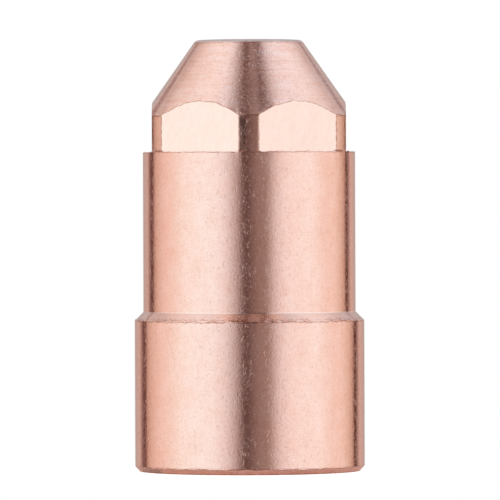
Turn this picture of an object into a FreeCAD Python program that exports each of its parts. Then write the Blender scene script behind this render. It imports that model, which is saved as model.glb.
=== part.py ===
import FreeCAD, Part
import math
import os

# Copper electrode of a plasma torch, in millimetres. It stands on its rear seat face at z = 0,
# with its axis on Z and its tip up. One milled corner of the hexagon faces -Y.

# Outside, turned
LENGTH = 22.3  # rear seat face to tip face
SHANK_DIA = 11.0  # the cylinder that the swirl ring slides over
COLLAR_STEP = 0.45  # how far the rear collar stands out from the shank, on the radius
COLLAR_HEIGHT = 7.8  # rear seat face to the shoulder's lower edge
SHOULDER_ANGLE = 45.0  # degrees, between the shoulder's cone and the axis
COLLAR_CHAMFER = 0.25  # 45 degree chamfer round the rear seat face
TIP_FACE_DIA = 5.5  # flat tip face, measured at the sharp corner with the cone
CONE_HALF_ANGLE = 35.0  # degrees, between the tip's cone and the axis
TIP_RIM_RADIUS = 0.3  # rounding between the cone and the tip face

# Spanner flats, milled into the shank from the tip end
FLAT_COUNT = 6
FLAT_DEPTH = 0.5  # below the shank's surface, which leaves 10 mm across flats
LEDGE_BELOW_TIP = 5.8  # tip face down to the ledge where the flats end

# Rear socket
THREAD_WALL = 1.0  # shank's surface in to the thread's major diameter, which makes it M9 x 1
THREAD_LENGTH = 6.0  # pilot floor to the relief groove, lead-in chamfer included
RELIEF_DEPTH = 0.1  # the groove behind the thread, below the bore's wall
RELIEF_WIDTH = 0.8
PILOT_STEP = 0.25  # how far the pilot bore stands out from the thread, on the radius
PILOT_DEPTH = 2.2
MOUTH_CHAMFER = 0.4  # 45 degree lead-in at the pilot's mouth

# Coolant cavity behind the tip, with the cooled post that backs the emitter
CAVITY_STEP = 0.8  # how far the cavity's wall stands in from the thread, on the radius
CAVITY_CORNER = 0.6  # rounding between the cavity's wall and its roof
TIP_THICKNESS = 4.1  # tip face to the cavity's roof
POST_DIA = 3.6
POST_LENGTH = 1.5  # cavity roof down to the post's end
POST_ROOT_RADIUS = 0.35
POST_EDGE_RADIUS = 0.3

# Hafnium emitter, brazed into the tip face
EMITTER_DIA = 1.8
EMITTER_LENGTH = 4.0
BRAZE_GAP = 0.02  # radial gap that the braze fills

# Sizes that follow
SHANK_R = SHANK_DIA / 2
COLLAR_R = SHANK_R + COLLAR_STEP
TIP_R = TIP_FACE_DIA / 2
THREAD_R = SHANK_R - THREAD_WALL
PILOT_R = THREAD_R + PILOT_STEP
RELIEF_R = THREAD_R + RELIEF_DEPTH
CAVITY_R = THREAD_R - CAVITY_STEP
SHOULDER_TOP = COLLAR_HEIGHT + COLLAR_STEP / math.tan(math.radians(SHOULDER_ANGLE))
CONE_FOOT = LENGTH - (SHANK_R - TIP_R) / math.tan(math.radians(CONE_HALF_ANGLE))
LEDGE_Z = LENGTH - LEDGE_BELOW_TIP
RELIEF_START = PILOT_DEPTH + THREAD_LENGTH
RELIEF_END = RELIEF_START + RELIEF_WIDTH
CAVITY_ROOF = LENGTH - TIP_THICKNESS
POST_END = CAVITY_ROOF - POST_LENGTH
POCKET_FLOOR = LENGTH - EMITTER_LENGTH

UP = FreeCAD.Vector(0, 0, 1)
ORIGIN = FreeCAD.Vector(0, 0, 0)
MILL_OVERRUN = 1.0  # how far a cutting body runs past the surface that it leaves
ON_CIRCLE = 1e-4  # how close an edge lies to the place it is picked by


def revolved(profile):
    """A solid of revolution round Z. The profile is a closed outline of (radius, z) corners."""
    corners = [FreeCAD.Vector(r, 0, z) for r, z in profile]
    outline = Part.makePolygon(corners + corners[:1])
    return Part.Face(outline).revolve(ORIGIN, UP, 360)


def circle_edge(shape, radius, z):
    """The full circular edge of that radius round Z, at that height."""
    for edge in shape.Edges:
        curve = edge.Curve
        if not isinstance(curve, Part.Circle) or not edge.isClosed():
            continue
        if abs(curve.Radius - radius) < ON_CIRCLE and abs(curve.Center.z - z) < ON_CIRCLE:
            return edge
    raise ValueError(f"no circle of radius {radius} at z = {z}")


def turned_blank():
    """The outside as it leaves the lathe: collar, shoulder, shank, cone and rounded tip rim."""
    blank = revolved(
        [
            (0, 0),
            (COLLAR_R - COLLAR_CHAMFER, 0),
            (COLLAR_R, COLLAR_CHAMFER),
            (COLLAR_R, COLLAR_HEIGHT),
            (SHANK_R, SHOULDER_TOP),
            (SHANK_R, CONE_FOOT),
            (TIP_R, LENGTH),
            (0, LENGTH),
        ]
    )
    return blank.makeFillet(TIP_RIM_RADIUS, [circle_edge(blank, TIP_R, LENGTH)])


def flat_cutters():
    """One block for each spanner flat. The first lies half a pitch off -Y, so a corner faces -Y."""
    pitch = 360 / FLAT_COUNT
    reach = SHANK_R + MILL_OVERRUN
    height = LEDGE_BELOW_TIP + MILL_OVERRUN
    block = Part.makeBox(
        FLAT_DEPTH + MILL_OVERRUN,
        2 * reach,
        height,
        FreeCAD.Vector(SHANK_R - FLAT_DEPTH, -reach, LEDGE_Z),
    )
    cutters = []
    for i in range(FLAT_COUNT):
        cutter = block.copy()
        cutter.rotate(ORIGIN, UP, -90 + (i + 0.5) * pitch)
        cutters.append(cutter)
    return cutters


def rear_socket():
    """What the rear boring tools take away: pilot, thread bore, relief groove and coolant cavity."""
    bore = revolved(
        [
            (0, -MILL_OVERRUN),
            (PILOT_R + MOUTH_CHAMFER + MILL_OVERRUN, -MILL_OVERRUN),
            (PILOT_R, MOUTH_CHAMFER),
            (PILOT_R, PILOT_DEPTH),
            (THREAD_R, PILOT_DEPTH + PILOT_STEP),
            (THREAD_R, RELIEF_START),
            (RELIEF_R, RELIEF_START + RELIEF_DEPTH),
            (RELIEF_R, RELIEF_END),
            (CAVITY_R, RELIEF_END),
            (CAVITY_R, CAVITY_ROOF),
            (0, CAVITY_ROOF),
        ]
    )
    bore = bore.makeFillet(CAVITY_CORNER, [circle_edge(bore, CAVITY_R, CAVITY_ROOF)])
    return bore.cut(emitter_post())


def emitter_post():
    """The post in the cavity's roof, rounded at its end and flared into the roof at its root."""
    flare = POST_DIA / 2 + POST_ROOT_RADIUS
    post = revolved(
        [
            (0, POST_END),
            (POST_DIA / 2, POST_END),
            (POST_DIA / 2, CAVITY_ROOF - POST_ROOT_RADIUS),
            (flare, CAVITY_ROOF - POST_ROOT_RADIUS),
            (flare, CAVITY_ROOF + MILL_OVERRUN),
            (0, CAVITY_ROOF + MILL_OVERRUN),
        ]
    )
    ring = FreeCAD.Vector(0, 0, CAVITY_ROOF - POST_ROOT_RADIUS)
    root = Part.makeTorus(flare, POST_ROOT_RADIUS, ring, UP)
    post = post.cut(root)
    return post.makeFillet(POST_EDGE_RADIUS, [circle_edge(post, POST_DIA / 2, POST_END)])


def emitter_pocket():
    """The blind hole in the tip face that takes the emitter and its braze."""
    depth = EMITTER_LENGTH + MILL_OVERRUN
    floor = FreeCAD.Vector(0, 0, POCKET_FLOOR)
    return Part.makeCylinder(EMITTER_DIA / 2 + BRAZE_GAP, depth, floor)


def electrode_body():
    """The copper body: turned, milled with the flats, then bored from both ends."""
    body = turned_blank().cut(flat_cutters())
    body = body.cut([rear_socket(), emitter_pocket()])
    return body.Solids[0]


def emitter_insert():
    """The hafnium rod, seated on the pocket's floor and flush with the tip face."""
    return Part.makeCylinder(EMITTER_DIA / 2, EMITTER_LENGTH, FreeCAD.Vector(0, 0, POCKET_FLOOR))


NODES = {
    "electrode_body": electrode_body,
    "emitter_insert": emitter_insert,
}

os.makedirs("parts", exist_ok=True)
for name, make in NODES.items():
    shape = make()
    shape.exportStep(f"parts/{name}.step")
    box = shape.BoundBox
    print(
        f"{name}: valid {shape.isValid()}, {len(shape.Solids)} solid, {shape.Volume:.3f} mm3, "
        f"z {box.ZMin:.3f} to {box.ZMax:.3f}, x {box.XMin:.3f} to {box.XMax:.3f}"
    )
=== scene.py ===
import math

import bmesh
import bpy
import numpy as np
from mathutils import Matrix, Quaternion, Vector, noise


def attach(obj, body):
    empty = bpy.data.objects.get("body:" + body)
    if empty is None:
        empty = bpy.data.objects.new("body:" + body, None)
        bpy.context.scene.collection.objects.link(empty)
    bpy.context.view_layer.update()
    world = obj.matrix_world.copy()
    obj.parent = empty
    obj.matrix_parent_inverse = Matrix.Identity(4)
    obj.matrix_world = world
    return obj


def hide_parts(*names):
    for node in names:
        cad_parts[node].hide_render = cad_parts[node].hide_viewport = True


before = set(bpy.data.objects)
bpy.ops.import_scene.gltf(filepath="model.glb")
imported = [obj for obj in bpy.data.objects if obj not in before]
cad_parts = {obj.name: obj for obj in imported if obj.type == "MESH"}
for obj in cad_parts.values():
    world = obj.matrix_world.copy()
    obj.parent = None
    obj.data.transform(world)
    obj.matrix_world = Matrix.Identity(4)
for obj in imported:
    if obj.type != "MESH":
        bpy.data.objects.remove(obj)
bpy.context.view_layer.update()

# Sizes of the part in millimetres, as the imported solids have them
LENGTH = 22.3
SHANK_R = 5.5
COLLAR_R = 5.95
COLLAR_HEIGHT = 7.8
SHOULDER_TOP = 8.25
COLLAR_CHAMFER = 0.25
TIP_R = 2.75
CONE_HALF_ANGLE = 35  # degrees
CONE_SLOPE = math.tan(math.radians(CONE_HALF_ANGLE))
FLAT_R = 5.0
FLAT_COUNT = 6
LEDGE_Z = 16.5
PILOT_R = 4.75
PILOT_DEPTH = 2.2
MOUTH_CHAMFER = 0.4
THREAD_R = 4.5
RELIEF_R = 4.6
RELIEF_CORNER = 8.3  # where the thread's bore has widened to the relief groove
RELIEF_TOP = 9.0
CAVITY_R = 3.7
CAVITY_ROOF = 18.2
CAVITY_CORNER = 0.6
POST_R = 1.8
POST_END = 16.7
POST_ROOT_RADIUS = 0.35
POST_EDGE_RADIUS = 0.3
POCKET_R = 0.92
POCKET_FLOOR = 18.3
EMITTER_R = 0.9

# The M9 x 1 thread, whose ridges only this scene shows
PITCH = 1.0
THREAD_DEPTH = 0.54127 * PITCH
MINOR_R = THREAD_R - THREAD_DEPTH
FLANK_ANGLE = 30  # degrees, half of the angle between two flanks
THREAD_ROUND = 0.02  # rounding of the ridges' corners

# Roundings and small chamfers that only this scene shows
TIP_RIM_RADIUS = 0.34  # a little more than the solid's 0.3
EDGE = 0.03  # a turned edge
CRISP = 0.015  # an inner corner
BURR = 0.055  # an edge that a tool has torn
CORNER = 0.06  # the fillet that the lathe tool leaves above the shoulder
UPRIGHT_ROUND = 0.012  # the upright edges of the flats
POCKET_CHAMFER = 0.06

MM = 0.001  # metres in a millimetre
PER_METRE = 1000  # millimetres in a metre

# Columns of the body's mesh over half a flat and half a land, with angles in degrees
FLAT_COLUMNS, LAND_COLUMNS = 16, 4
FLAT_CLEAR, LAND_CLEAR = 1.6, 1.8  # kept free for the columns near the upright edge
EDGE_COLUMNS = [-1.0, -0.5, -0.28, -0.16, -0.05, 0.05, 0.16, 0.28, 0.5, 1.0]  # from that edge
FLAT_HALF = math.acos(FLAT_R / SHANK_R)  # half a flat, in radians round the axis
SAME_SIXTH = -0.04  # the product of two neighbours' offsets is less where the next sixth begins

# Wear of the upright edges, and how far it reaches to each side
UPRIGHT_WEAR = 0.9
UPRIGHT_REACH = math.radians(0.4)

# Torn edges: (seed, waves a turn, height in millimetres) of the waves that each is made of
SEED_STEP = 7.31  # how far apart the seeds lie in the noise
ARC_WAVES = [(1, 90, 0.026)]
LEDGE_WAVES = [(2, 60, 0.03), (8, 150, 0.03)]
COLLAR_WAVES = [(3, 60, 0.035), (7, 150, 0.04)]
CHAMFER_WAVES = [(4, 80, 0.025)]
LEDGE_LIFT = 0.015  # how far the middle of a torn edge stands above its place
CHAMFER_LIFT = 0.01
TORN_DEPTH = 0.008  # how far a torn edge lies behind the wall on average
TORN_WAVES = 140  # a turn

# From a torn edge to the plain ring that keeps its raggedness out of the face
ARC_PLAIN = 0.09
LEDGE_PLAIN = 0.08
SHANK_PLAIN = 0.09
SHOULDER_PLAIN = 0.11
COLLAR_PLAIN = 0.12
FLAT_PLAIN = 0.9  # share of the flat's height

# Rings over a rounding
ROUND_SHARE = 0.42  # of the shorter wall beside it, the most that a rounding takes
HOLD = 0.012  # from a rounding to the ring that holds it off the wall, beside half its reach
HOLD_SHARE = 0.05  # of the shorter wall, the most that this takes
TINY = 1e-9  # stands for a length of zero in a division

# Vertices closer than this, in metres, become one
WELD = 2e-7
EMITTER_WELD = 1e-7
DEGENERATE = 1e-8  # shorter edges go altogether
EMITTER_COLUMNS = 128


# The body's mesh

def column_angles():
    """Angles of the mesh's columns round the axis, and their offsets from the flat's normal."""
    half = math.degrees(FLAT_HALF)
    pitch = 360 / FLAT_COUNT
    flat = list(np.linspace(0, half - FLAT_CLEAR, FLAT_COLUMNS))
    land = list(np.linspace(half + LAND_CLEAR, pitch / 2, LAND_COLUMNS))
    side = flat + [half + c for c in EDGE_COLUMNS] + land
    offsets = [-s for s in reversed(side[1:-1])] + side
    angles = []
    for i in range(FLAT_COUNT):
        normal = -90 + (i + 0.5) * pitch
        angles += [(normal + o, o) for o in offsets]
    return np.radians(np.array(angles)).T


THETA, OFFSET = column_angles()
COLUMNS = len(THETA)
UPRIGHT_EDGE = UPRIGHT_WEAR * (np.abs(np.abs(OFFSET) - FLAT_HALF) < UPRIGHT_REACH)


def wander(seed, per_turn):
    """Smooth noise round the axis, about -1 to 1, with about per_turn waves a turn."""
    k = per_turn / math.tau
    layer = seed * SEED_STEP
    places = [Vector((k * math.cos(a), k * math.sin(a), layer)) for a in THETA]
    return np.array([2 * noise.noise(place) for place in places])


def torn_height(height, waves):
    """The height of a torn edge at each column."""
    for seed, per_turn, rise in waves:
        height = height + rise * wander(seed, per_turn)
    return height


def torn(seed):
    """How far a torn edge lies behind the wall at each column."""
    return TORN_DEPTH + TORN_DEPTH * np.clip(wander(seed, TORN_WAVES), -1, 1)


def side_radius(softness):
    """The shank's wall with its flats: the lesser of cylinder and planes, soft where they meet."""
    plane = FLAT_R / np.cos(OFFSET)
    share = np.clip(0.5 + 0.5 * (plane - SHANK_R) / softness, 0, 1)
    return plane * (1 - share) + SHANK_R * share - softness * share * (1 - share)


def ring(radius, height):
    """(radius, height) at each column. Either may be one value for all of them."""
    r = np.broadcast_to(np.asarray(radius, float), COLUMNS)
    z = np.broadcast_to(np.asarray(height, float), COLUMNS)
    return np.stack([r, z], 1)


def rings_over(rounding):
    """How many steps a rounding is drawn in."""
    if rounding > 0.1:
        return 8
    return 4 if rounding > 0.02 else 2


class Rows:
    """The mesh's rings, from the emitter's pocket over the outside, up the socket to the post."""

    def __init__(self):
        self.points = []
        self.zones = []
        self.edges = []

    def add(self, radius, height, zone, edge=0.0):
        self.points.append(ring(radius, height))
        self.zones.append(zone)
        upright = UPRIGHT_EDGE if zone == "side" else 0.0
        self.edges.append(np.maximum(edge, upright) * np.ones(COLUMNS))

    def path(self, corners):
        """corners: (radius, height, rounding, zone of the wall that follows, rows on it, edge
        mark). The edge mark is wear, but at the seat's edge it is a painted contact shadow.

        A seventh item is the zone of the rounding itself.
        """
        ends = [ring(*corner[:2]) for corner in corners]
        for i, (_, _, rounding, zone, between, edge_mark, *own) in enumerate(corners):
            here = ends[i]
            if 0 < i < len(corners) - 1 and rounding:
                around = ends[i - 1 : i + 2]
                start = self.rounded(around, rounding, corners[i - 1][3], zone, edge_mark, own)
            else:
                start = here
            self.add(*start.T, zone)
            if i < len(corners) - 1:
                for s in np.linspace(0, 1, between + 2)[1:-1]:
                    self.add(*(start * (1 - s) + ends[i + 1] * s).T, zone)

    def rounded(self, ends, rounding, zone_before, zone_after, edge_mark, own):
        """Adds a corner's rounding, and says where the wall after it starts."""
        before, here, after = ends
        back, ahead = before - here, after - here
        back_length = np.maximum(np.linalg.norm(back, axis=1), TINY)[:, None]
        ahead_length = np.maximum(np.linalg.norm(ahead, axis=1), TINY)[:, None]
        shorter = np.minimum(back_length, ahead_length)
        back, ahead = back / back_length, ahead / ahead_length
        turn = np.pi - np.arccos(np.clip((back * ahead).sum(1), -1, 1))[:, None]
        reach = np.minimum(rounding * np.tan(turn / 2), ROUND_SHARE * shorter)
        hold = np.minimum(0.5 * reach + HOLD, HOLD_SHARE * shorter)
        a, b = here + back * reach, here + ahead * reach
        weight = np.cos(turn / 2)
        self.add(*(a + back * hold).T, zone_before)
        for s in np.linspace(0, 1, rings_over(rounding) + 1):
            share = (1 - s) ** 2 + 2 * s * (1 - s) * weight + s * s
            p = ((1 - s) ** 2 * a + 2 * s * (1 - s) * weight * here + s * s * b) / share
            zone = own[0] if own and s < 1 else (zone_before if s < 0.5 else zone_after)
            self.add(*p.T, zone, edge_mark)
        return b + ahead * hold


def thread_rings():
    """The thread in the socket as sheared rings. They have one column more, to close the turn."""
    flank = (THREAD_R - MINOR_R) * math.tan(math.radians(FLANK_ANGLE))
    crest = PITCH / 4
    root = PITCH - crest - 2 * flank
    crest_at = root + flank
    soft, rise = THREAD_ROUND, THREAD_ROUND * 1.5
    middle = (THREAD_R + MINOR_R) / 2
    knots = [
        (0, THREAD_R),
        (root - soft, THREAD_R),
        (root + soft, THREAD_R - rise),
        (root + flank / 2, middle),
        (crest_at - soft, MINOR_R + rise),
        (crest_at + soft, MINOR_R),
        (crest_at + crest - soft, MINOR_R),
        (crest_at + crest + soft, MINOR_R + rise),
        (PITCH - flank / 2, middle),
        (PITCH - soft, THREAD_R - rise),
    ]
    at = np.array([k[0] for k in knots] + [PITCH])
    radii = np.array([k[1] for k in knots] + [THREAD_R])
    low, high = PILOT_DEPTH, RELIEF_CORNER
    turns = np.append(THETA - THETA[0], math.tau) / math.tau
    rings = []
    for n in range(math.floor(low / PITCH) - 1, math.ceil(high / PITCH)):
        for s, _ in knots:
            z = np.clip(n * PITCH + s + PITCH * turns, low, high)
            r = np.interp(np.mod(z - PITCH * turns, PITCH), at, radii)
            r = np.maximum(r, np.maximum(PILOT_R - (z - low), RELIEF_R - (high - z)))
            rings.append(np.stack([r, z], 1))
    return rings


def body_rows():
    """The whole outline as (radius, height) rings with their zones."""
    crisp = side_radius(UPRIGHT_ROUND)
    arc_z = LENGTH - (crisp - TIP_R) / CONE_SLOPE
    chamfer_z = torn_height(COLLAR_CHAMFER + CHAMFER_LIFT, CHAMFER_WAVES)
    rows = Rows()
    rows.path([
        (0, POCKET_FLOOR, 0, "bore", 0, 0),
        (POCKET_R, POCKET_FLOOR, 0, "bore", 0, 0),
        (POCKET_R, LENGTH - POCKET_CHAMFER, 0, "face", 0, 0),
        (POCKET_R + POCKET_CHAMFER, LENGTH, CRISP, "face", 4, 0),
        (TIP_R, LENGTH, TIP_RIM_RADIUS, "cone", 8, 0, "rim"),
        (crisp - ARC_PLAIN, arc_z + ARC_PLAIN / CONE_SLOPE, 0, "cone", 0, 0),
        (crisp, torn_height(arc_z, ARC_WAVES), BURR, "side", 0, 1),
        (crisp, LEDGE_Z + FLAT_PLAIN * (arc_z - LEDGE_Z), 0, "side", 10, 0),
        (crisp, LEDGE_Z, CRISP, "ledge", 1, 0),
        (np.maximum(crisp, SHANK_R - LEDGE_PLAIN), LEDGE_Z, 0, "ledge", 0, 0),
        (SHANK_R - torn(5), torn_height(LEDGE_Z + LEDGE_LIFT, LEDGE_WAVES), BURR, "turned", 0, 1),
        (SHANK_R, LEDGE_Z - SHANK_PLAIN, 0, "turned", 8, 0),
        (SHANK_R, SHOULDER_TOP, CORNER, "shoulder", 1, 0, "corner"),
        (COLLAR_R - SHOULDER_PLAIN, COLLAR_HEIGHT + SHOULDER_PLAIN, 0, "shoulder", 0, 0),
        (COLLAR_R - torn(6), torn_height(COLLAR_HEIGHT, COLLAR_WAVES), BURR, "turned", 0, 1),
        (COLLAR_R, COLLAR_HEIGHT - COLLAR_PLAIN, 0, "turned", 8, 0),
        (COLLAR_R, chamfer_z, EDGE, "shoulder", 0, 1),
        # The seat's edge is marked dark all round: a painted contact shadow
        (COLLAR_R - COLLAR_CHAMFER, 0, EDGE, "seat", 1, 1),
        (PILOT_R + MOUTH_CHAMFER, 0, EDGE, "bore", 1, 0),
        (PILOT_R, MOUTH_CHAMFER, CRISP, "bore", 2, 0),
        (PILOT_R, PILOT_DEPTH, 0, "bore", 0, 0),
    ])
    for points in thread_rings():
        rows.points.append(points)
        rows.zones.append("bore")
        rows.edges.append(np.zeros(len(points)))
    rows.path([
        (RELIEF_R, RELIEF_CORNER, 0, "bore", 0, 0),
        (RELIEF_R, RELIEF_TOP, CRISP, "bore", 0, 0),
        (CAVITY_R, RELIEF_TOP, CRISP, "bore", 6, 0),
        (CAVITY_R, CAVITY_ROOF, CAVITY_CORNER, "bore", 1, 0),
        (POST_R, CAVITY_ROOF, POST_ROOT_RADIUS, "bore", 1, 0),
        (POST_R, POST_END, POST_EDGE_RADIUS, "bore", 1, 0),
        (0, POST_END, 0, "bore", 0, 0),
    ])
    return rows


SLOTS = ["turned", "cone", "milled", "bore", "face", "shoulder", "rim", "corner", "land"]


def slot_of(zone, j, k):
    """The material of a face in a zone, between columns j and k."""
    if zone == "side":
        middle = 0.5 * (OFFSET[j] + OFFSET[k])
        on_flat = abs(middle) < FLAT_HALF and OFFSET[j] * OFFSET[k] > SAME_SIXTH
        return SLOTS.index("milled" if on_flat else "land")
    return SLOTS.index({"ledge": "milled", "seat": "shoulder"}.get(zone, zone))


def body_mesh():
    """The copper body. Its vertices carry the mark of their edge, which the copper reads: wear, and
    at the seat's edge a painted contact shadow.
    """
    rows = body_rows()
    cos, sin = np.cos(THETA), np.sin(THETA)
    bm = bmesh.new()
    mark = bm.verts.layers.float.new("edge")
    grid = []
    for points, edge in zip(rows.points, rows.edges):
        c = np.append(cos, cos[0]) if len(points) > COLUMNS else cos
        s = np.append(sin, sin[0]) if len(points) > COLUMNS else sin
        r, z = points[:, 0] * MM, points[:, 1] * MM
        grid.append([bm.verts.new(place) for place in zip(r * c, r * s, z)])
        for v, edge_mark in zip(grid[-1], edge):
            v[mark] = edge_mark
    for zone, top, low in zip(rows.zones, grid, grid[1:]):
        for j in range(COLUMNS):
            k = (j + 1) % COLUMNS
            b = top[j + 1] if len(top) > COLUMNS else top[k]
            c = low[j + 1] if len(low) > COLUMNS else low[k]
            face = bm.faces.new((top[j], low[j], c, b))
            face.material_index = slot_of(zone, j, k)
            face.smooth = True
    bmesh.ops.remove_doubles(bm, verts=bm.verts, dist=WELD)
    bmesh.ops.dissolve_degenerate(bm, edges=bm.edges, dist=DEGENERATE)
    return finished("electrode_copper", bm)


def finished(name, bm):
    """The mesh of a closed piece, with its faces turned outward."""
    bmesh.ops.recalc_face_normals(bm, faces=bm.faces)
    mesh = bpy.data.meshes.new(name)
    bm.to_mesh(mesh)
    bm.free()
    return mesh


def turned_mesh(name, outline):
    """A piece turned round Z from an outline of (radius, height) that starts and ends on it."""
    turns = [math.tau * j / EMITTER_COLUMNS for j in range(EMITTER_COLUMNS)]
    bm = bmesh.new()
    rings = []
    for r, z in outline:
        places = [(r * MM * math.cos(a), r * MM * math.sin(a), z * MM) for a in turns]
        rings.append([bm.verts.new(place) for place in places])
    for a, b in zip(rings, rings[1:]):
        for j in range(EMITTER_COLUMNS):
            k = (j + 1) % EMITTER_COLUMNS
            bm.faces.new((a[j], b[j], b[k], a[k])).smooth = True
    bmesh.ops.remove_doubles(bm, verts=bm.verts, dist=EMITTER_WELD)
    return finished(name, bm)


def link(name, mesh):
    obj = bpy.data.objects.new(name, mesh)
    bpy.context.scene.collection.objects.link(obj)
    return obj


# Node helpers

class Graph:
    """Short calls for the nodes of one material or world."""

    def __init__(self, tree):
        self.tree = tree
        tree.nodes.clear()

    def node(self, kind, inputs=None, **settings):
        n = self.tree.nodes.new(kind)
        for key, value in settings.items():
            setattr(n, key, value)
        for key, value in (inputs or {}).items():
            self.feed(n.inputs[key], value)
        return n

    def feed(self, socket, value):
        if isinstance(value, bpy.types.NodeSocket):
            self.tree.links.new(value, socket)
        else:
            socket.default_value = value

    def math(self, operation, a, b=0.0, c=0.0, clamp=False):
        n = self.node("ShaderNodeMath", {0: a, 1: b, 2: c}, operation=operation)
        n.use_clamp = clamp
        return n.outputs[0]

    def vector(self, operation, a, b=None):
        inputs = {0: a} if b is None else {0: a, 1: b}
        return self.node("ShaderNodeVectorMath", inputs, operation=operation).outputs

    def product(self, first, *others):
        for other in others:
            first = self.math("MULTIPLY", first, other)
        return first

    def centred(self, value, share, middle=0.0):
        """A noise value, 0.5 on average, as share wide about the middle."""
        return self.math("MULTIPLY_ADD", value, share, middle - 0.5 * share)

    def here(self):
        return self.node("ShaderNodeTexCoord").outputs["Object"]

    def place(self, scale):
        """Object coordinates in millimetres, stretched by scale on each axis."""
        stretch = [PER_METRE * s for s in scale]
        return self.node("ShaderNodeMapping", {"Vector": self.here(), "Scale": stretch}).outputs[0]

    def axes(self):
        """Object coordinates in millimetres, one by one."""
        return self.node("ShaderNodeSeparateXYZ", {0: self.place((1, 1, 1))}).outputs

    def noise(self, scale, detail=2.0, roughness=0.5, distortion=0.0):
        """Noise with scale waves to the millimetre on each axis."""
        return self.noise_at(self.place(scale), detail, roughness, distortion)

    def noise_at(self, vector, detail, roughness, distortion=0.0):
        return self.node("ShaderNodeTexNoise", {
            "Vector": vector, "Scale": 1.0, "Detail": detail, "Roughness": roughness,
            "Distortion": distortion,
        }).outputs[0]

    def span(self, value, low, high, to_low=0.0, to_high=1.0, smooth=False):
        """Takes low to to_low and high to to_high, and holds what lies past them."""
        return self.node(
            "ShaderNodeMapRange",
            {
                "Value": value, "From Min": low, "From Max": high,
                "To Min": to_low, "To Max": to_high,
            },
            interpolation_type="SMOOTHSTEP" if smooth else "LINEAR",
            clamp=True,
        ).outputs[0]

    def rise(self, value, low, high):
        return self.span(value, low, high, smooth=True)

    def fall(self, value, low, high, smooth=True):
        return self.span(value, low, high, 1.0, 0.0, smooth)

    def blend(self, share, a, b, mode="MIX"):
        n = self.node("ShaderNodeMix", {"Factor": share}, data_type="RGBA", blend_type=mode)
        self.feed(n.inputs[6], a)
        self.feed(n.inputs[7], b)
        return n.outputs[2]

    def ramp(self, value, stops):
        n = self.node("ShaderNodeValToRGB", {0: value})
        elements = n.color_ramp.elements
        while len(elements) > 1:
            elements.remove(elements[-1])
        elements[0].position, elements[0].color = stops[0][0], (*stops[0][1], 1)
        for at, colour in stops[1:]:
            elements.new(at).color = (*colour, 1)
        return n.outputs[0]

    def sweep(self, value, stops):
        """A ramp over -1 to 1."""
        halved = [((at + 1) / 2, colour) for at, colour in stops]
        return self.ramp(self.math("MULTIPLY_ADD", value, 0.5, 0.5), halved)

    def rays(self):
        """Whether a ray comes from the camera, and whether it comes off or through the part."""
        path = self.node("ShaderNodeLightPath").outputs
        mirrored = self.math("MAXIMUM", path["Is Glossy Ray"], path["Is Transmission Ray"])
        return path["Is Camera Ray"], mirrored

    def hairlines(self, scale, strength):
        """Thin curling lines in patches, strength deep at most."""
        bend = {"Vector": self.place([HAIR_BEND_CELL * s for s in scale]), "Scale": 1.0}
        bend = self.node("ShaderNodeTexNoise", bend).outputs[1]
        bend = self.vector("MULTIPLY", bend, (HAIR_BEND, HAIR_BEND, HAIR_BEND))[0]
        cells = {"Vector": self.vector("ADD", self.place(scale), bend)[0], "Scale": 1.0}
        line = self.node("ShaderNodeTexVoronoi", cells, feature="DISTANCE_TO_EDGE")
        line = self.fall(line.outputs["Distance"], *HAIR_WIDTH, smooth=False)
        patch = self.noise([HAIR_PATCH_CELL * s for s in scale], 1.0, 0.5)
        return self.product(line, self.span(patch, *HAIR_PATCH, 0.0, strength))

    def scratch(self, start, end):
        """A straight scratch from and to (arc from -Y at the collar's radius, height)."""
        x, y, z = self.axes()
        arc = self.product(self.math("ARCTAN2", x, self.product(y, -1.0)), COLLAR_R)
        point = self.node("ShaderNodeCombineXYZ", {0: arc, 1: z}).outputs[0]
        run = Vector((end[0] - start[0], end[1] - start[1], 0))
        past = self.vector("SUBTRACT", point, (*start, 0))[0]
        along = self.vector("DOT_PRODUCT", past, run / run.length_squared)["Value"]
        along = self.math("ADD", along, 0.0, clamp=True)
        foot = {0: run, "Scale": along}
        foot = self.node("ShaderNodeVectorMath", foot, operation="SCALE").outputs[0]
        off = self.vector("DISTANCE", past, foot)["Value"]
        return self.span(off, *SCRATCH_WIDTH, SCRATCH_DEPTH, 0.0)

    def ragged_line(self, height, wobble, width, depth):
        """A ragged, broken line round the part at a height."""
        z = self.axes()[2]
        stray = self.noise(WOBBLE_CELL, 2.0, 0.6)
        stray = self.math("MULTIPLY_ADD", stray, 2 * wobble, -height - wobble)
        off = self.math("ABSOLUTE", self.math("ADD", z, stray))
        broken = self.noise(BREAK_CELL, 2.0, 0.7)
        broken = self.span(broken, *BREAK_LEVELS, BREAK_DEPTH * depth, depth)
        return self.product(self.fall(off, LINE_CORE * width, width, smooth=False), broken)

    def dim_patch(self, at, reach, depth):
        """A soft ragged spot round a place, reach wide on each axis."""
        shift = [-a / r for a, r in zip(at, reach)]
        off = self.vector("ADD", self.place([1 / r for r in reach]), shift)[0]
        off = self.vector("LENGTH", off)["Value"]
        ragged = self.math("MULTIPLY_ADD", self.noise(DIM_PATCH_CELL, 2.0), DIM_PATCH_RAGGED, off)
        return self.span(ragged, *DIM_PATCH_EDGE, depth, 0.0, smooth=True)


# Copper. A surface's three tones go from deep to pale.

COPPERS = ((0.900, 0.560, 0.450), (0.955, 0.655, 0.560), (0.980, 0.735, 0.660))
LANDS = ((0.86, 0.54, 0.43), (0.915, 0.635, 0.535), (0.94, 0.71, 0.63))
# Paler copper for the flats and the ledge: milled copper's own paler tone, and partly a painted
# highlight for the glare on the flats
MILLED_AND_GLARE = ((0.945, 0.693, 0.590), (0.965, 0.728, 0.630), (0.985, 0.768, 0.680))
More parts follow.
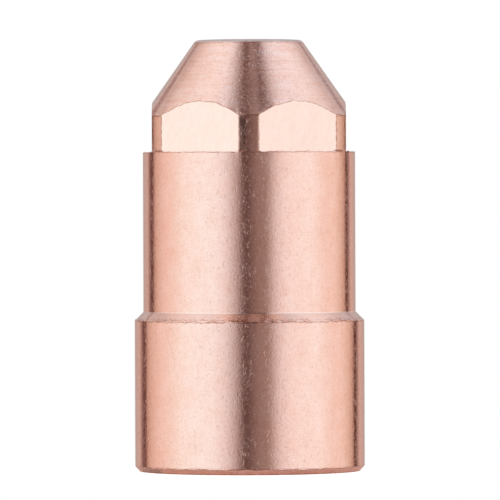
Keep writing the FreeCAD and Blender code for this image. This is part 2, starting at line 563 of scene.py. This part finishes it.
# Darker, greyer copper for the tip's rim
DARK_RIM_TONES = ((0.60, 0.50, 0.46), (0.71, 0.60, 0.56), (0.80, 0.68, 0.64))
BURNISHED = ((0.97, 0.76, 0.68), (0.99, 0.80, 0.72), (1.00, 0.84, 0.77))
TONE_STOPS = (0.05, 0.5, 0.95)
TARNISH_AND_SHADE = (0.500, 0.230, 0.150, 1)
# The colour of the dim patches; on the shoulder's fillet it is painted shade
DIM_PATCH_COLOUR = (0.300, 0.190, 0.170, 1)
BURR_AND_SHADOW_RED = (0.560, 0.250, 0.180, 1)

# Waves to the millimetre on each axis of the noises that all surfaces share
MID_CELL, TICK_CELL, WEAR_CELL = (1.1, 1.1, 0.9), (9, 9, 4.4), (4, 4, 4)
FLECK_SHARE = 0.62  # of the grain's own waves
RINGS_PER_MM = 7.0  # on a faced end

# Noise levels between which a mark rises, and its strength
PIT_LEVELS, PIT_DEPTH = (0.58, 0.76), 0.07
DASH_LEVELS, DASH_DEPTH = (0.64, 0.78), 0.15
EDGE_MARK_LEVELS, EDGE_MARK_DEPTHS = (0.40, 0.56), (0.25, 0.9)
HAIRS = [((2.6, 2.6, 2.3), 0.115), ((1.1, 1.1, 4.2), 0.10)]
HAIR_BEND = 1.6
HAIR_BEND_CELL, HAIR_PATCH_CELL = 1.2, 1.6  # for each of the lines' own waves
HAIR_WIDTH = (0.02, 0.08)
HAIR_PATCH = (0.46, 0.60)
SCRATCH_WIDTH, SCRATCH_DEPTH = (0.010, 0.035), 0.22
# A ragged line's wobble and breaks, and a dim patch's outline
WOBBLE_CELL, BREAK_CELL, DIM_PATCH_CELL = (4.5, 4.5, 1), (1.6, 1.6, 1), (5, 5, 5)
BREAK_LEVELS, BREAK_DEPTH = (0.40, 0.56), 0.25
LINE_CORE = 0.4  # share of the line's width that is full
DIM_PATCH_RAGGED, DIM_PATCH_EDGE = 0.9, (1.15, 1.55)
DULLING = 1.4  # how much less metallic a pit or dash is, for each unit of its depth

# What each noise adds to the tone, to the roughness and to the bump's height
MID_TONE, FINE_TONE, FLECK_TONE, MARK_TONE = 0.9, 0.7, 0.6, 0.4
FLECK_ROUGH, WORN_ROUGH, TICK_ROUGH, MID_ROUGH = 0.08, 0.45, 0.32, 0.16
LEAST_ROUGH = 0.08
FINE_BUMP, FLECK_BUMP, MARK_BUMP, SPOT_BUMP, HAIR_BUMP, EDGE_BUMP = 0.20, 0.28, 0.30, 3.0, 2.4, 4.0
BUMP_DISTANCE = 5.0e-6  # metres


def tool_marks(g, lay, lay_turn, faced):
    """Noise drawn out along the tool's way: rings on a faced end, else lay waves to the mm."""
    if faced:
        flat = g.vector("MULTIPLY", g.here(), (PER_METRE, PER_METRE, 0))[0]
        radius = g.vector("LENGTH", flat)["Value"]
        rings = {"W": radius, "Scale": RINGS_PER_MM, "Detail": 3.0, "Roughness": 0.6}
        return g.node("ShaderNodeTexNoise", rings, noise_dimensions="1D").outputs[0]
    # A mapping of this type turns before it stretches
    stretch = {"Vector": g.here(), "Rotation": lay_turn, "Scale": [MM / v for v in lay]}
    turned = g.node("ShaderNodeMapping", stretch, vector_type="TEXTURE")
    return g.noise_at(turned.outputs[0], 2.0, 0.6)


def copper_material(name, tones=COPPERS, rough=0.11, cell=(13, 13, 11), lay=(5, 5, 2.0),
                    lay_turn=(0, 0, 0), faced=False, grain=1.0, marks=1.0, nicks=1.0, edges=1.0,
                    scratches=(), dim_patches=(), lines=()):
    """Satin copper. cell and lay are the waves to the mm of its grain and of its tool marks."""
    material = bpy.data.materials.new(name)
    material.use_nodes = True
    g = Graph(material.node_tree)
    fine = g.noise(cell, 1.0, 0.5)
    fleck = g.noise([c * FLECK_SHARE for c in cell], 2.0, 0.6)
    mid = g.noise(MID_CELL, 3.0, 0.6)
    marked = tool_marks(g, lay, lay_turn, faced)

    # Small damage: pits, short dashes, hairlines that curl, and worn edges, with a painted contact
    # shadow on the seat's edge
    pit = g.span(fleck, *PIT_LEVELS, 0.0, PIT_DEPTH * nicks, smooth=True)
    tick = g.noise(TICK_CELL, 1.0, 0.5, 1.0)
    dash = g.span(tick, *DASH_LEVELS, 0.0, DASH_DEPTH * nicks, smooth=True)
    hair = g.math("MAXIMUM", *[g.hairlines(scale, depth * nicks) for scale, depth in HAIRS])
    spot = g.math("MAXIMUM", pit, dash)
    worn = g.math("MAXIMUM", spot, hair)
    rim = g.node("ShaderNodeAttribute", attribute_name="edge").outputs["Fac"]
    ragged = g.noise(WEAR_CELL, 2.0, 0.65)
    burr_and_shade = g.span(ragged, *EDGE_MARK_LEVELS, *[depth * edges for depth in EDGE_MARK_DEPTHS], smooth=True)
    burr_and_shade = g.product(rim, burr_and_shade)

    tone = g.centred(mid, MID_TONE, 0.5)
    tone = g.math("ADD", tone, g.centred(fine, FINE_TONE * grain))
    tone = g.math("ADD", tone, g.centred(fleck, FLECK_TONE * grain))
    tone = g.math("ADD", tone, g.centred(marked, MARK_TONE * marks), clamp=True)
    colour = g.ramp(tone, list(zip(TONE_STOPS, tones)))
    colour = g.blend(g.math("MAXIMUM", worn, burr_and_shade), colour, TARNISH_AND_SHADE)
    for scratch in scratches:
        colour = g.blend(g.scratch(*scratch), colour, TARNISH_AND_SHADE)
    # Ragged lines; the one at the chamfer's foot is a painted contact shadow
    for line in lines:
        colour = g.blend(g.ragged_line(*line), colour, BURR_AND_SHADOW_RED)
    # Dim patches; the one on the shoulder's fillet is painted shade
    for dim_patch in dim_patches:
        colour = g.blend(g.dim_patch(*dim_patch), colour, DIM_PATCH_COLOUR)
    metallic = g.math("MULTIPLY_ADD", spot, -DULLING, 1.0, clamp=True)

    roughness = g.centred(fleck, FLECK_ROUGH, rough)
    roughness = g.math("ADD", roughness, g.product(worn, WORN_ROUGH))
    roughness = g.math("ADD", roughness, g.centred(tick, TICK_ROUGH * grain))
    roughness = g.math("ADD", roughness, g.centred(mid, MID_ROUGH * grain))
    roughness = g.math("MAXIMUM", roughness, LEAST_ROUGH)

    height = g.product(fine, FINE_BUMP * grain)
    height = g.math("ADD", height, g.product(fleck, FLECK_BUMP * grain))
    height = g.math("ADD", height, g.product(marked, MARK_BUMP * marks))
    dents = g.math("MULTIPLY_ADD", spot, SPOT_BUMP, g.product(hair, HAIR_BUMP))
    height = g.math("SUBTRACT", height, dents)
    height = g.math("ADD", height, g.product(rim, ragged, EDGE_BUMP * edges))
    bump = {"Strength": 1.0, "Distance": BUMP_DISTANCE, "Height": height}
    bump = g.node("ShaderNodeBump", bump).outputs[0]

    shader = g.node(
        "ShaderNodeBsdfPrincipled",
        {"Base Color": colour, "Metallic": metallic, "Roughness": roughness, "Normal": bump},
    )
    g.node("ShaderNodeOutputMaterial", {"Surface": shader.outputs[0]})
    return material


# Scratches from and to (arc from -Y at the collar's radius, height), in millimetres
SCRATCHES = [
    ((1.33, 1.52), (2.08, 0.42)),
    ((2.18, 0.66), (2.34, 0.38)),
    ((-2.95, 2.3), (-2.90, 1.1)),
    ((-4.81, 7.5), (-4.70, 7.0)),
    ((-4.70, 7.0), (-4.37, 6.4)),
    ((-4.37, 6.4), (-4.17, 5.9)),
    ((-4.17, 5.9), (-4.19, 5.3)),
    ((-6.02, 15.35), (-5.93, 15.1)),
    ((-5.93, 15.1), (-6.03, 14.85)),
]
ARC_FOOT = 18.31  # where the lands end below the cone
# Height, wobble, width and depth of the ragged lines at the edges: marks that the tools have left,
# and at the chamfer's foot a painted contact shadow
WALL_LINES = [
    (COLLAR_HEIGHT - 0.03, 0.10, 0.035, 0.75),
    (LEDGE_Z - 0.03, 0.07, 0.03, 0.6),
    (COLLAR_CHAMFER + 0.07, 0.06, 0.03, 0.6),
]
SHOULDER_LINES = [
    (COLLAR_HEIGHT + 0.10, 0.14, 0.03, 0.7),
    (COLLAR_CHAMFER - 0.08, 0.05, 0.03, 0.3),
    # At the foot of the chamfer: a painted contact shadow
    (0.03, 0.02, 0.03, 0.7),
]
CONE_LINES = [
    (LENGTH - 0.17, 0.06, 0.03, 0.7),
    (LENGTH - 1.15, 0.03, 0.025, 0.35),
    (ARC_FOOT + 0.05, 0.10, 0.03, 0.5),
]
LAND_LINES = [(ARC_FOOT, 0.06, 0.035, 0.8)]
# Place, reach on each axis and depth of the dim patches
CHAMFER_DIM_PATCHES = [((-5.1, -2.6, 0.12), (1.3, 1.3, 0.3), 0.45)]
CONE_DIM_PATCHES = [((0.2, -4.3, 19.35), (0.95, 1.0, 1.0), 0.12)]
# At the front of the fillet above the shoulder: painted shade, the crease darkened where light
# would be blocked
CORNER_PAINTED_SHADE = [((0.35, -5.5, 8.27), (0.62, 0.6, 0.16), 0.75)]
LAND_DIM_PATCHES = [
    ((-0.45, -5.48, 17.3), (0.32, 0.6, 1.1), 0.55),
    ((-0.42, -5.48, 18.0), (0.26, 0.6, 0.24), 0.75),
]
MATERIALS = {
    "land": copper_material(
        "land_copper", tones=LANDS, edges=1.3, dim_patches=LAND_DIM_PATCHES, lines=LAND_LINES,
    ),
    "turned": copper_material("turned_copper", scratches=SCRATCHES, lines=WALL_LINES),
    "cone": copper_material(
        "cone_copper", cell=(5, 5, 13), lay=(0.5, 0.5, 7), marks=3.4, nicks=1.3, edges=1.6,
        lines=CONE_LINES, dim_patches=CONE_DIM_PATCHES,
    ),
    "milled": copper_material(
        "milled_copper", tones=MILLED_AND_GLARE, grain=0.5, nicks=0.2, marks=2.8, lay=(5, 5, 0.5),
        lay_turn=(0.0, 0.45, 0.0), edges=0.5,
    ),
    "bore": copper_material("bored_copper", rough=0.3, cell=(4, 4, 12), lay=(0.6, 0.6, 9)),
    "face": copper_material("faced_copper", faced=True, marks=2.4, nicks=0.6),
    "shoulder": copper_material(
        "shoulder_copper", cell=(7, 7, 12), lay=(0.6, 0.6, 9), marks=0.8,
        lines=SHOULDER_LINES, dim_patches=CHAMFER_DIM_PATCHES,
    ),
    "rim": copper_material(
        "rim_copper", tones=DARK_RIM_TONES, rough=0.48, cell=(9, 9, 12), lay=(0.6, 0.6, 9),
    ),
    "corner": copper_material(
        "corner_copper", tones=BURNISHED, rough=0.19, cell=(9, 9, 12), nicks=0.3,
        dim_patches=CORNER_PAINTED_SHADE,
    ),
}

body = link("electrode_copper", body_mesh())
for slot_name in SLOTS:
    body.data.materials.append(MATERIALS[slot_name])
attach(body, "root")
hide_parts("electrode_body")


# The emitter

def hafnium_material():
    material = bpy.data.materials.new("hafnium_grey")
    material.use_nodes = True
    g = Graph(material.node_tree)
    cloud = g.noise((3, 3, 3), 3.0, 0.6)
    fine = g.noise((16, 16, 16), 2.0, 0.6)
    colour = g.ramp(cloud, [(0.3, (0.46, 0.46, 0.47)), (0.7, (0.58, 0.575, 0.57))])
    roughness = g.math("MULTIPLY_ADD", fine, 0.16, 0.24)
    bump = g.node("ShaderNodeBump", {"Strength": 1.0, "Distance": 1.0e-6, "Height": fine})
    shader = g.node("ShaderNodeBsdfPrincipled", {
        "Base Color": colour, "Metallic": 1.0, "Roughness": roughness, "Normal": bump.outputs[0],
    })
    g.node("ShaderNodeOutputMaterial", {"Surface": shader.outputs[0]})
    return material


# Its face is slightly dished, as polishing leaves the hard metal, and its edge is broken
EMITTER_FACE = [(0, 0.02), (0.25, 0.012), (0.5, 0.006), (0.7, 0.003), (0.84, 0.002), (0.875, 0.006)]
EMITTER_SIDE = [LENGTH - 0.03, LENGTH - 0.06, 20.0, POCKET_FLOOR + 0.1]
EMITTER_END = [0.85, 0.5, 0]
emitter = link("hafnium_emitter", turned_mesh("hafnium_emitter", [
    *[(r, LENGTH - below) for r, below in EMITTER_FACE],
    *[(EMITTER_R, z) for z in EMITTER_SIDE],
    *[(r, POCKET_FLOOR) for r in EMITTER_END],
]))
emitter.data.materials.append(hafnium_material())
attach(emitter, "root")
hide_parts("emitter_insert")


# Floor, light and camera

FLOOR_R = 15
FLOOR_RINGS = (COLLAR_R - COLLAR_CHAMFER, COLLAR_R, 7.5, 10.0, FLOOR_R)
FLOOR_EVERY = 3  # of the body's columns, one in this many has a column of the floor
FLOOR_FADE = (0.45, 0.95)  # shares of its radius over which it fades into the backdrop
MIRROR_FADE = (6.3, 8.0)  # radii over which its mirror image in the copper fades
FLOOR_GLOW = 0.7  # seen by the camera
MIRROR_GLOW = 0.115  # seen in the copper
# The pink below is a painted reflection: only the copper sees the floor glow in it
PAINTED_PINK_REFLECTION = (0.9, 0.6, 0.5, 1)  # its glow in the copper
FLOOR_MATTE = (0.86, 0.75, 0.70, 1)
WHITE = (1, 1, 1, 1)


def floor_mesh():
    bm = bmesh.new()
    rings = []
    for radius in FLOOR_RINGS:
        r = radius * MM
        places = [(r * math.cos(a), r * math.sin(a), 0) for a in THETA[::FLOOR_EVERY]]
        rings.append([bm.verts.new(place) for place in places])
    for inner, outer in zip(rings, rings[1:]):
        for j in range(len(inner)):
            k = (j + 1) % len(inner)
            bm.faces.new((inner[j], outer[j], outer[k], inner[k]))
    mesh = bpy.data.meshes.new("studio_floor")
    bm.to_mesh(mesh)
    bm.free()
    return mesh


def floor_material():
    """Pale and matt. It fades outward, and it is clear from below."""
    material = bpy.data.materials.new("pale_floor")
    material.use_nodes = True
    g = Graph(material.node_tree)
    out = g.vector("LENGTH", g.here())["Value"]
    camera, mirrored = g.rays()
    # Seen in the copper, the floor glows pink: a painted reflection
    glow = g.node("ShaderNodeEmission", {
        "Color": g.blend(camera, PAINTED_PINK_REFLECTION, WHITE),
        "Strength": g.math("MULTIPLY_ADD", camera, FLOOR_GLOW, g.product(mirrored, MIRROR_GLOW)),
    })
    matte = g.node("ShaderNodeBsdfDiffuse", {"Color": FLOOR_MATTE})
    lit = g.node("ShaderNodeAddShader", {0: matte.outputs[0], 1: glow.outputs[0]})
    clear = g.node("ShaderNodeBsdfTransparent")
    outer = g.rise(out, *[share * FLOOR_R * MM for share in FLOOR_FADE])
    in_mirror = g.product(mirrored, g.span(out, *[r * MM for r in MIRROR_FADE]))
    below = g.node("ShaderNodeNewGeometry").outputs["Backfacing"]
    gone = g.math("MAXIMUM", g.math("MAXIMUM", outer, in_mirror), below)
    mix = g.node("ShaderNodeMixShader", {0: gone, 1: lit.outputs[0], 2: clear.outputs[0]})
    g.node("ShaderNodeOutputMaterial", {"Surface": mix.outputs[0]})
    return material


# The studio's light by direction. ACROSS holds its colours over the direction's x and REAR their
# falling off over its y, LEVEL with the object and HIGH above it.
LEVEL_ACROSS = [
    (-1.00, (1.04, 1.10, 1.11)), (-0.80, (1.05, 1.15, 1.19)), (-0.60, (1.03, 1.12, 1.17)),
    (-0.50, (0.96, 0.99, 1.04)), (-0.42, (0.89, 0.89, 0.93)), (-0.35, (0.76, 0.74, 0.77)),
    (-0.28, (0.61, 0.56, 0.57)), (-0.205, (0.43, 0.355, 0.355)), (-0.14, (0.27, 0.205, 0.20)),
    (-0.115, (0.15, 0.10, 0.095)), (-0.04, (0.130, 0.078, 0.073)), (0.03, (0.19, 0.13, 0.125)),
    (0.09, (0.25, 0.175, 0.165)), (0.16, (0.305, 0.22, 0.205)), (0.24, (0.325, 0.24, 0.22)),
    (0.31, (0.335, 0.25, 0.23)), (0.38, (0.50, 0.42, 0.41)), (0.455, (0.72, 0.645, 0.655)),
    (0.53, (0.87, 0.82, 0.84)), (0.66, (1.00, 0.99, 1.01)), (0.84, (1.03, 1.055, 1.075)),
    (1.00, (1.05, 1.10, 1.12)),
]
LEVEL_REAR = [
    (-1.00, (1.00, 1.00, 1.00)), (-0.30, (1.00, 1.00, 1.00)), (0.00, (0.93, 0.79, 0.74)),
    (0.21, (0.90, 0.70, 0.65)), (0.34, (0.81, 0.61, 0.55)), (0.47, (0.72, 0.51, 0.425)),
    (0.60, (0.54, 0.315, 0.255)), (1.00, (0.38, 0.27, 0.24)),
]
RIGHT_REAR = (1.06, 1.15, 1.15, 1)
HIGH_ACROSS = [
    (-1.00, (1.06, 1.12, 1.16)), (-0.50, (1.05, 1.10, 1.14)), (-0.36, (0.97, 1.02, 1.10)),
    (-0.28, (0.78, 0.78, 0.84)), (-0.22, (0.55, 0.53, 0.56)), (-0.16, (0.37, 0.32, 0.33)),
    (-0.10, (0.185, 0.135, 0.135)), (-0.03, (0.17, 0.118, 0.113)), (0.04, (0.28, 0.225, 0.225)),
    (0.11, (0.34, 0.28, 0.285)), (0.20, (0.165, 0.116, 0.111)), (0.26, (0.37, 0.315, 0.33)),
    (0.33, (0.66, 0.62, 0.65)), (0.43, (0.90, 0.90, 0.94)), (0.60, (1.00, 1.01, 1.06)),
    (1.00, (1.02, 1.04, 1.08)),
]
HIGH_REAR = [
    (-1.00, (1.00, 1.00, 1.00)), (-0.10, (0.96, 0.98, 0.99)), (0.13, (0.94, 0.95, 0.97)),
    (0.30, (0.89, 0.865, 0.865)), (0.42, (0.81, 0.77, 0.77)), (0.55, (0.70, 0.63, 0.62)),
    (0.65, (0.615, 0.555, 0.545)), (0.75, (0.68, 0.64, 0.65)), (1.00, (0.63, 0.59, 0.59)),
]
HIGH_BEHIND = [
    (-0.50, (1, 1, 1)), (-0.15, (0.80, 0.90, 0.97)), (0.15, (0.80, 0.90, 0.97)), (0.50, (1, 1, 1)),
]
HIGH_TINT = [(-0.6, (1.0, 0.96, 0.945)), (-0.3, (1.02, 1.00, 0.985)), (0.3, (1.03, 1.05, 1.08))]
HIGH_DELAY, HIGH_DELAY_FROM = 0.4, 0.5  # z past 0.5 moves HIGH_REAR rearward, 0.4 to the unit
ZENITH_TINT = (1.27, 1.06, 0.92, 1)
ZENITH_NARROW, ZENITH_RIGHT = 0.21, 0.19  # the colours across draw together, more on the right
CORE = (0.08, 0.045, 0.04, 1)  # the dark middle of the front, above the object
# A dark gap on each side, before the pale sheet behind the object, and the sheet's dim upper edge
GAP = [(-0.5, (0.145, 0.066, 0.056)), (0.5, (0.095, 0.038, 0.030))]
SHEET = [(0.0, (0.65, 0.48, 0.425)), (0.12, (0.62, 0.51, 0.47)), (0.3, (0.65, 0.57, 0.56))]
SHEET_REAR = [(0.78, (1.14, 1.11, 1.13)), (0.88, (0.93, 0.97, 1.0)), (0.97, (0.77, 0.85, 0.87))]
DUSK = [(-0.5, (0.36, 0.25, 0.23)), (0.5, (0.38, 0.31, 0.33))]

# Where each of them begins and ends, over the direction's x, y or z
HIGH_FROM = (0.10, 0.45)
ZENITH_FROM = (0.93, 0.985)
RIGHT_FROM, RIGHT_REAR_FROM = (0.2, 0.6), (0.0, 0.3)
BEHIND_FROM = (0.02, 0.30)
CORE_UP, CORE_TO, CORE_ACROSS, CORE_REAR = (0.10, 0.30), (0.72, 0.92), (0.05, 0.22), (-0.2, 0.1)
GAP_FROM, GAP_LEVEL, GAP_LEAN = (0.600, 0.614), (0.14, 0.26), -0.010
SHEET_FROM, SHEET_LOW, SHEET_LEAN = (0.702, 0.818), (0.27, 0.50), 0.016
DUSK_FROM, DUSK_TO, DUSK_UP, DUSK_TOP = (0.68, 0.77), (0.81, 0.87), (0.24, 0.31), (0.41, 0.47)
BACKDROP_FROM = (0.985, 1.0)


def level_light(g, dx, dy):
    light = g.blend(1.0, g.sweep(dx, LEVEL_ACROSS), g.sweep(dy, LEVEL_REAR), "MULTIPLY")
    right_rear = g.product(g.span(dx, *RIGHT_FROM), g.rise(dy, *RIGHT_REAR_FROM))
    return g.blend(right_rear, light, RIGHT_REAR, "MULTIPLY")


def high_light(g, dx, dy, dz, up):
    zenith = g.rise(up, *ZENITH_FROM)
    side = g.product(dx, g.math("MULTIPLY_ADD", zenith, ZENITH_NARROW, 1.0))
    right = g.product(g.math("MAXIMUM", dx, 0.0), zenith)
    side = g.math("MULTIPLY_ADD", right, ZENITH_RIGHT, side)
    strip = g.blend(g.rise(dy, *BEHIND_FROM), g.sweep(side, HIGH_ACROSS), g.sweep(dx, HIGH_BEHIND))
    above = g.math("MAXIMUM", g.math("SUBTRACT", dz, HIGH_DELAY_FROM), 0.0)
    delayed = g.math("MULTIPLY_ADD", above, -HIGH_DELAY, dy)
    light = g.blend(1.0, strip, g.sweep(delayed, HIGH_REAR), "MULTIPLY")
    tint = g.blend(zenith, g.sweep(dx, HIGH_TINT), ZENITH_TINT)
    return g.blend(1.0, light, tint, "MULTIPLY")


def studio_world():
    """Light that depends on the direction alone, before a white backdrop."""
    world = bpy.data.worlds.new("studio")
    world.use_nodes = True
    bpy.context.scene.world = world
    g = Graph(world.node_tree)
    direction = g.node("ShaderNodeTexCoord").outputs["Generated"]
    dx, dy, dz = g.node("ShaderNodeSeparateXYZ", {0: direction}).outputs
    up = g.math("MAXIMUM", dz, 0.0)

    studio = g.blend(g.rise(up, *HIGH_FROM), level_light(g, dx, dy), high_light(g, dx, dy, dz, up))
    core = g.product(
        g.rise(up, *CORE_UP),
        g.fall(up, *CORE_TO),
        g.fall(g.math("ABSOLUTE", dx), *CORE_ACROSS),
        g.fall(dy, *CORE_REAR, smooth=False),
    )
    studio = g.blend(core, studio, CORE)

    gap = g.span(g.math("MULTIPLY_ADD", dx, GAP_LEAN, dy), *GAP_FROM)
    gap = g.product(gap, g.fall(g.math("ABSOLUTE", dz), *GAP_LEVEL))
    studio = g.blend(gap, studio, g.sweep(dx, GAP))

    paper = g.span(g.math("MULTIPLY_ADD", dx, SHEET_LEAN, dy), *SHEET_FROM)
    paper = g.product(paper, g.fall(up, *SHEET_LOW))
    sheet = g.blend(1.0, g.ramp(up, SHEET), g.sweep(dy, SHEET_REAR), "MULTIPLY")
    studio = g.blend(paper, studio, sheet)

    dusk = g.product(
        g.product(g.rise(dy, *DUSK_FROM), g.fall(dy, *DUSK_TO)),
        g.product(g.span(up, *DUSK_UP), g.fall(up, *DUSK_TOP, smooth=False)),
    )
    studio = g.blend(dusk, studio, g.sweep(dx, DUSK))

    light = g.node("ShaderNodeBackground", {"Color": studio, "Strength": 1.0})
    white = g.node("ShaderNodeBackground", {"Color": WHITE, "Strength": 1.0})
    camera, mirrored = g.rays()
    seen = g.math("MAXIMUM", camera, g.product(mirrored, g.span(dy, *BACKDROP_FROM)))
    mix = g.node("ShaderNodeMixShader", {0: seen, 1: light.outputs[0], 2: white.outputs[0]})
    g.node("ShaderNodeOutputWorld", {"Surface": mix.outputs[0]})


# The photograph's view, in millimetres and degrees
CAMERA_AT = (0.036, -337, 14.1)
CAMERA_AIM = (0.036, 0, 11.435)
CAMERA_ROLL = 0.2
SENSOR = 36.0
LENS = 468.4
CLIP_M = (0.01, 5.0)


def photo_camera():
    data = bpy.data.cameras.new("camera")
    data.sensor_width = SENSOR
    data.lens = LENS
    data.clip_start, data.clip_end = CLIP_M
    camera = link("camera", data)
    camera.location = [v * MM for v in CAMERA_AT]
    camera.rotation_mode = "XYZ"
    aim = Vector([v * MM for v in CAMERA_AIM]) - camera.location
    roll = Quaternion(aim.normalized(), math.radians(CAMERA_ROLL))
    camera.rotation_euler = (roll @ aim.to_track_quat("-Z", "Y")).to_euler()
    bpy.context.scene.camera = camera


# A ring round the seat face, open under the socket so that the socket can be seen from below
floor = link("studio_floor", floor_mesh())
floor.data.materials.append(floor_material())
studio_world()
photo_camera()
bpy.context.scene.view_settings.view_transform = "Standard"
